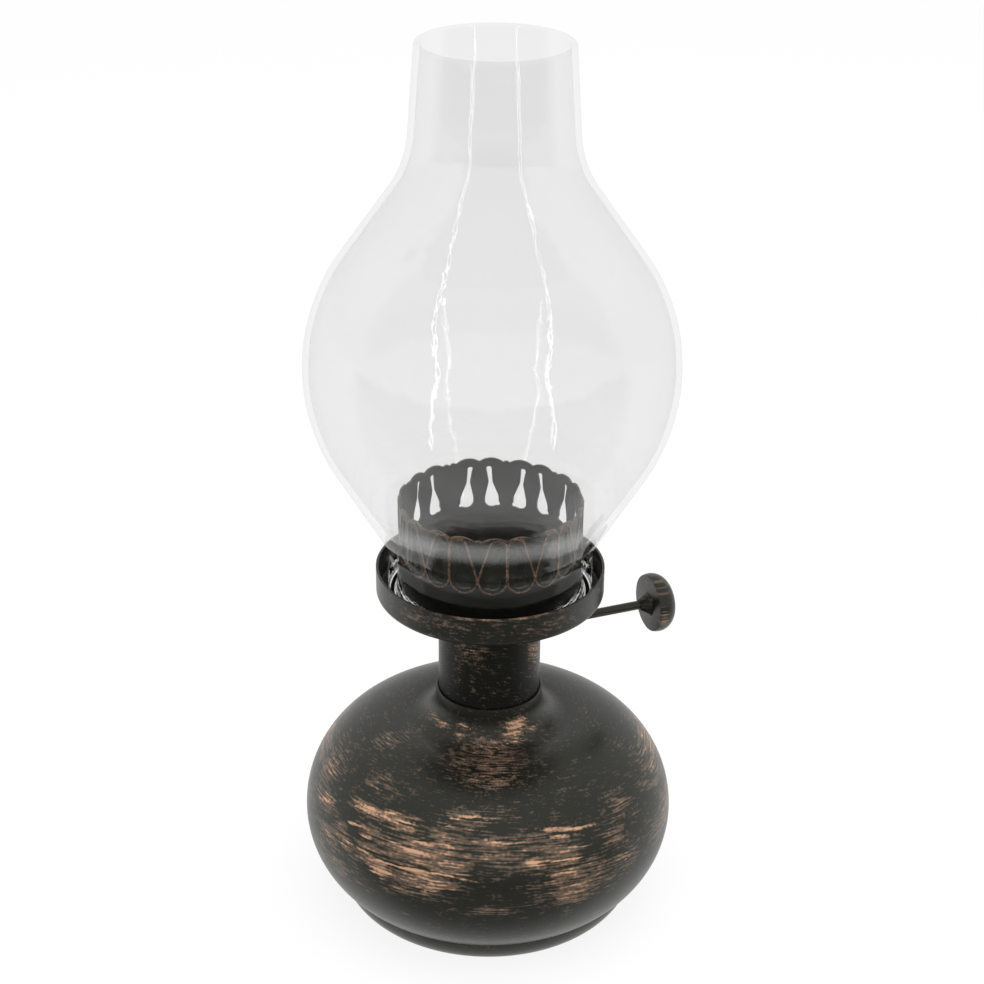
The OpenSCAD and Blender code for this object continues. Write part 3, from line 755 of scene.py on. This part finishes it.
class LAMP_OT_stack(bpy.types.Operator):
    """Finishes the neck, tray and candle pan"""
    bl_idname = "lamp.stack"
    bl_label = "Neck, tray and pan"

    def execute(self, context):
        finish = context.scene.lamp_finish
        # Partly painted highlight: the copper patch at 64 degrees, right of the front, sits where a light
        # from behind and right shines on the tube; the others are brushed copper.
        neck = by_patches((-24, 26, 0.112, 0.012, 0.34), (64, 20, 0.106, 0.012, 0.62),
                          (150, 40, 0.104, 0.014, 0.7), (-120, 30, 0.110, 0.012, 0.6))
        tray = by_patches((-32, 28, 0.134, 0.004, 0.38), (30, 24, 0.133, 0.004, 0.24),
                          (2, 46, 0.1379, 0.0009, 0.62), (110, 50, 0.134, 0.005, 0.6),
                          (-140, 50, 0.133, 0.005, 0.65))
        paint(brushed_iron("brushed iron, neck", finish, neck, 0.6, gloss=0.14), "neck_tube", "neck_cap")
        paint(brushed_iron("brushed iron, tray", finish, tray), "tray")
        paint(black_cup("black candle pan", finish), "candle_pan")
        return {"FINISHED"}


class LAMP_OT_crown(bpy.types.Operator):
    """Finishes the pierced crown"""
    bl_idname = "lamp.crown"
    bl_label = "Crown"

    def execute(self, context):
        rim_h = 0.0003
        paint(crown_metal("worn crown metal", context.scene.lamp_finish, reach_of("crown") - rim_h,
                          top_of("crown")), "crown")
        return {"FINISHED"}


class LAMP_OT_knob(bpy.types.Operator):
    """Turns the side knob and finishes its spindle"""
    bl_idname = "lamp.knob"
    bl_label = "Knob and spindle"

    def execute(self, context):
        s, finish = context.scene.lamp_knob, context.scene.lamp_finish
        hub_h, hub_r, tip, edge, bore_h = 0.0038, 0.0046, 0.0005, 0.0005, s.thick * 0.6
        # The rim is an arc that starts at the inner face and ends at 74 degrees, where a shallow dome
        # carries on to the knob's end
        side_r, side_h, side_end = s.thick * 0.732, s.thick * 0.265, 74
        side_c = (s.radius - side_r, side_h)
        rim = arc(side_c, side_r, -math.degrees(math.asin(side_h / side_r)), side_end, 40)
        rise = s.thick - rim[-1, 1]
        dome_r = (rim[-1, 0] ** 2 + rise ** 2) / (2 * rise)
        dome_end = math.degrees(math.asin(rim[-1, 0] / dome_r))
        outline = np.concatenate([
            [[0, bore_h], [s.bore_r, bore_h], [s.bore_r, -hub_h], [s.bore_r + tip, -hub_h],
             [hub_r, 0]], rim,
            arc((0, s.thick - dome_r), dome_r, 90 - dome_end, 90, 16)[1:-1], [[0, s.thick]]])
        piece = turned("side_knob", eased(outline, edge, closed=False), 128, closed=False,
                       along_x=(s.reach, 0, s.height))
        rim_x, rim_y = s.reach + 0.0015, -s.radius
        rubbed = by_spots((rim_x, rim_y, s.height, 0.0035, 0.9),
                          (rim_x, rim_y, s.height - 0.0025, 0.0035, 1.0),
                          (rim_x, -rim_y, s.height, 0.005, 0.9), least=0.08)
        place(piece, "knob", brushed_iron("brushed iron, knob", finish, rubbed))
        under = by_patches((22, 60, s.height - 0.0017, 0.0013, 0.7), least=0.05)
        paint(brushed_iron("brushed iron, spindle", finish, under), "spindle")
        return {"FINISHED"}


class LAMP_OT_chimney(bpy.types.Operator):
    """Turns the glass chimney"""
    bl_idname = "lamp.chimney"
    bl_label = "Glass chimney"

    def execute(self, context):
        s, finish = context.scene.lamp_glass, context.scene.lamp_finish
        foot_z, mouth_z = foot_of("chimney"), top_of("chimney")
        globe_c = np.array([s.globe_r - s.globe_curve, foot_z + s.globe_h])
        throat_z = foot_z + s.throat_h
        taper = math.degrees(math.atan((s.throat_r - s.mouth_r) / (mouth_z - throat_z)))
        throat_c = np.array([s.throat_r + s.throat_curve * math.cos(math.radians(taper)),
                             throat_z + s.throat_curve * math.sin(math.radians(taper))])
        shoulder_z = foot_z + s.fitter_h

        def touch(point, radius):
            """The angle on the globe's circle, of this radius, where a line from the point touches it."""
            d = point - globe_c
            return math.degrees(math.atan2(d[1], d[0]) + math.acos(radius / np.linalg.norm(d)))

        def line(fitter_r, inset):
            """The globe and the throat, this far inside their faces, as two arcs that touch."""
            r1, r2 = s.globe_curve - inset, s.throat_curve + inset
            d = throat_c - globe_c
            high = math.degrees(math.atan2(d[1], d[0]) - math.acos((r1 + r2) / np.linalg.norm(d)))
            low = touch(np.array([fitter_r, shoulder_z]), r1)
            return np.concatenate([arc(globe_c, r1, low, high, 96),
                                   arc(throat_c, r2, 180 + high, 180 + taper, 36)])

        lean = touch(np.array([s.fitter_r, shoulder_z]), s.globe_curve)
        blend_r, edge, fine_edge, lip = 0.009, 0.0008, 0.0004, s.wall / 2
        rise = blend_r * math.tan(math.radians(abs(lean)) / 2)
        outline = np.concatenate([
            [[s.fitter_in_r + edge, foot_z]],
            arc((s.fitter_r - edge, foot_z + edge), edge, -90, 0, 8),
            arc((s.fitter_r + blend_r, shoulder_z - rise), blend_r, 180, 180 + lean, 12),
            line(s.fitter_r, 0),
            arc((s.mouth_r - lip, mouth_z - lip), lip, 0, 180, 14),
            line(s.fitter_in_r, s.wall)[::-1],
            [[s.fitter_in_r, shoulder_z], [s.fitter_in_r, foot_z + edge]]])

        def ripple(t, r, h):
            """Sum of a few slow waves round and along the glass, fading out at the fitter and mouth."""
            fade = np.clip((h - foot_z - 0.018) / 0.02, 0, 1) * np.clip((mouth_z - h) / 0.01, 0, 1)
            wave = (np.sin(3 * t + 60 * h + 0.4) + 0.7 * np.sin(5 * t - 95 * h + 1.3)
                    + 0.5 * np.sin(8 * t + 170 * h + 2.1) + 0.35 * np.sin(2 * t + 310 * h))
            return s.ripple * fade * wave

        piece = turned("glass_chimney", eased(outline, fine_edge), s.turns, shape=ripple)
        place(piece, "chimney", clear_glass("clear glass", finish, shoulder_z))
        return {"FINISHED"}


class LAMP_OT_hardware(bpy.types.Operator):
    """Finishes the bolt, washers, nuts, bush and clip, and the felt under the foot"""
    bl_idname = "lamp.hardware"
    bl_label = "Hardware and felt"

    def execute(self, context):
        finish = context.scene.lamp_finish
        paint(plated_zinc("plated zinc", finish), "tie_bolt", "bolt_washer", "base_washer", "base_nut",
              "spindle_bush", "bush_nut", "spindle_clip")
        paint(pressed_felt("pressed felt", finish), "felt_base")
        return {"FINISHED"}


# Studio

def spot_at(turn, distance, z):
    """The point at height z and this far from the axis, in the direction turn degrees from the front."""
    way = math.radians(FRONT + turn)
    return distance * math.cos(way), distance * math.sin(way), z


def soft_lamp(name, low, high, width, aim, power, seen=True, only=None):
    """A flat lamp of this width whose middle line runs from low to high, turned about it to face aim.
    Shiny faces mirror it if it is seen. It lights only the object named, when one is."""
    low, high = Vector(low), Vector(high)
    light = bpy.data.lights.new(name, "AREA")
    light.shape, light.size, light.size_y = "RECTANGLE", width, (high - low).length
    light.energy = power
    lamp = bpy.data.objects.new(name, light)
    along = (high - low).normalized()
    back = (low + high) / 2 - Vector(aim)
    back = (back - back.dot(along) * along).normalized()
    turn = Matrix((along.cross(back), along, back)).transposed().to_4x4()
    lamp.matrix_world = Matrix.Translation((low + high) / 2) @ turn
    lamp.visible_camera = False
    lamp.visible_glossy = seen
    if only:
        group = bpy.data.collections.new(name + " lights")
        group.objects.link(bpy.data.objects[only])
        lamp.light_linking.receiver_collection = group
    bpy.context.scene.collection.objects.link(lamp)


def lay_floor():
    """A wide flat floor. The camera sees it nearly white, with the object's shadow on it. Mirrored in
    the object or seen through its glass it glows with painted shade: darker just in front of the foot,
    as if shadowed by the body, and darker still towards the unlit side behind the camera."""
    half = 6.0
    mesh = bpy.data.meshes.new("floor")
    mesh.from_pydata([(-half, -half, 0), (half, -half, 0), (half, half, 0), (-half, half, 0)],
                     [], [(0, 1, 2, 3)])
    floor = bpy.data.objects.new("floor", mesh)
    bpy.context.scene.collection.objects.link(floor)
    material, tree, shader = start_material("pale floor")
    tree.nodes.remove(shader)
    x, y, _ = object_place(tree).split()
    ahead = towards(0, x, y)
    # Painted shade: the floor's glow in reflections drops to 0.44 just in front of the foot and to 0.2
    # farther towards the camera, standing in for shadow there.
    lit = 1 - ahead.step(0.05, 0.09) * 0.56 - ahead.step(0.17, 0.28) * 0.24
    cloth = add(tree, "ShaderNodeBsdfDiffuse", {}, {"Color": (0.82, 0.82, 0.82)})
    white = add(tree, "ShaderNodeEmission", {}, {"Color": (1.0, 1.0, 1.0), "Strength": 1.0})
    painted_shade_glow = add(tree, "ShaderNodeEmission", {}, {"Color": (1.0, 1.0, 1.0), "Strength": lit})
    direct = mix_shaders(tree, ray_is(tree, "Camera") * 0.88, cloth, white)
    bent = ray_is(tree, "Glossy").max(ray_is(tree, "Transmission"))
    plug(tree, tree.nodes["Material Output"], Surface=mix_shaders(tree, bent, direct, painted_shade_glow))
    mesh.materials.append(material)


def light_world(s):
    """White behind the object, for the camera and through glass. As light it is strongest from the
    top, the back and the sides, and weaker from behind the camera."""
    world = bpy.data.worlds.new("studio")
    world.use_nodes = True
    tree = world.node_tree
    x, y, z = add(tree, "ShaderNodeTexCoord", {}, {}, 0).split()
    ahead = towards(0, x, y)
    seen = ray_is(tree, "Camera").max(ray_is(tree, "Transmission") * (1 - ahead.step(0.0, 0.3)))
    bright = z.step(0.45, 0.80).max(1 - ahead.step(-0.25, 0.35))
    around = bright * (s.world - s.dark_side) + s.dark_side
    plug(tree, tree.nodes["Background"], Color=(1.0, 1.0, 1.0), Strength=seen.max(around))
    bpy.context.scene.world = world


def stand_strips():
    """Two bent strips of light, left and right of the camera, that only the glass mirrors. Each has
    an upright lower part and an upper part that leans outwards and back."""
    width, per_metre, aim = 0.009, 0.17, (0, 0, 0.2)
    for side, word in ((-1, "left"), (1, "right")):
        foot, bend = spot_at(side * 34, 0.42, 0.01), spot_at(side * 32, 0.42, 0.34)
        top = spot_at(side * 57, 0.50, 0.95)
        for part, low, high in (("low", foot, bend), ("high", bend, top)):
            power = per_metre * (Vector(high) - Vector(low)).length
            soft_lamp(f"{word} {part} strip", low, high, width, aim, power, only="glass_chimney")


def set_camera(s):
    """The camera at the photograph's viewing angle, in front of the lamp and looking down at it."""
    camera = bpy.data.objects.new("camera", bpy.data.cameras.new("camera"))
    camera.data.lens, camera.data.sensor_width = s.lens, 36.0
    camera.data.clip_start, camera.data.clip_end = 0.01, 50.0
    level = Matrix.Rotation(math.radians(FRONT) + math.pi / 2 - s.yaw, 4, "Z")
    tilt = Matrix.Rotation(math.pi / 2 - s.pitch, 4, "X")
    spin = Matrix.Rotation(s.roll, 4, "Z")
    spot = Vector(spot_at(0, s.distance, s.height))
    camera.matrix_world = Matrix.Translation(spot) @ level @ tilt @ spin
    bpy.context.scene.collection.objects.link(camera)
    bpy.context.scene.camera = camera


class LAMP_OT_stage(bpy.types.Operator):
    """Lays the floor and sets the lamps, the world and the camera"""
    bl_idname = "lamp.stage"
    bl_label = "Studio"

    def execute(self, context):
        s = context.scene.lamp_studio
        context.scene.view_settings.view_transform = "Standard"
        lay_floor()
        light_world(s)
        soft_lamp("overhead", (-0.7, -0.2, 1.7), (0.9, -0.2, 1.7), 1.6, (0, 0, 0.1), s.key, seen=False)
        stand_strips()
        set_camera(s)
        return {"FINISHED"}


OPERATORS = [LAMP_OT_body, LAMP_OT_stack, LAMP_OT_crown, LAMP_OT_knob, LAMP_OT_chimney,
             LAMP_OT_hardware, LAMP_OT_stage]


class LAMP_PT_panel(bpy.types.Panel):
    """Lists the holder's pieces and its studio"""
    bl_idname = "LAMP_PT_panel"
    bl_label = "Tea light holder"
    bl_space_type = "VIEW_3D"
    bl_region_type = "UI"
    bl_category = "Tea light holder"

    def draw(self, context):
        for operator in OPERATORS:
            self.layout.operator(operator.bl_idname)


SETTINGS = {"lamp_body": BodySizes, "lamp_glass": GlassSizes, "lamp_knob": KnobSizes,
            "lamp_finish": Finishes, "lamp_studio": StudioSettings}


def register():
    for group in [*SETTINGS.values(), *OPERATORS, LAMP_PT_panel]:
        bpy.utils.register_class(group)
    for name, group in SETTINGS.items():
        setattr(bpy.types.Scene, name, PointerProperty(type=group))


def unregister():
    for name in SETTINGS:
        delattr(bpy.types.Scene, name)
    for group in reversed([*SETTINGS.values(), *OPERATORS, LAMP_PT_panel]):
        bpy.utils.unregister_class(group)


def main():
    register()
    bpy.ops.lamp.body()
    bpy.ops.lamp.stack()
    bpy.ops.lamp.crown()
    bpy.ops.lamp.knob()
    bpy.ops.lamp.chimney()
    bpy.ops.lamp.hardware()
    bpy.ops.lamp.stage()


if __name__ == "__main__":
    main()
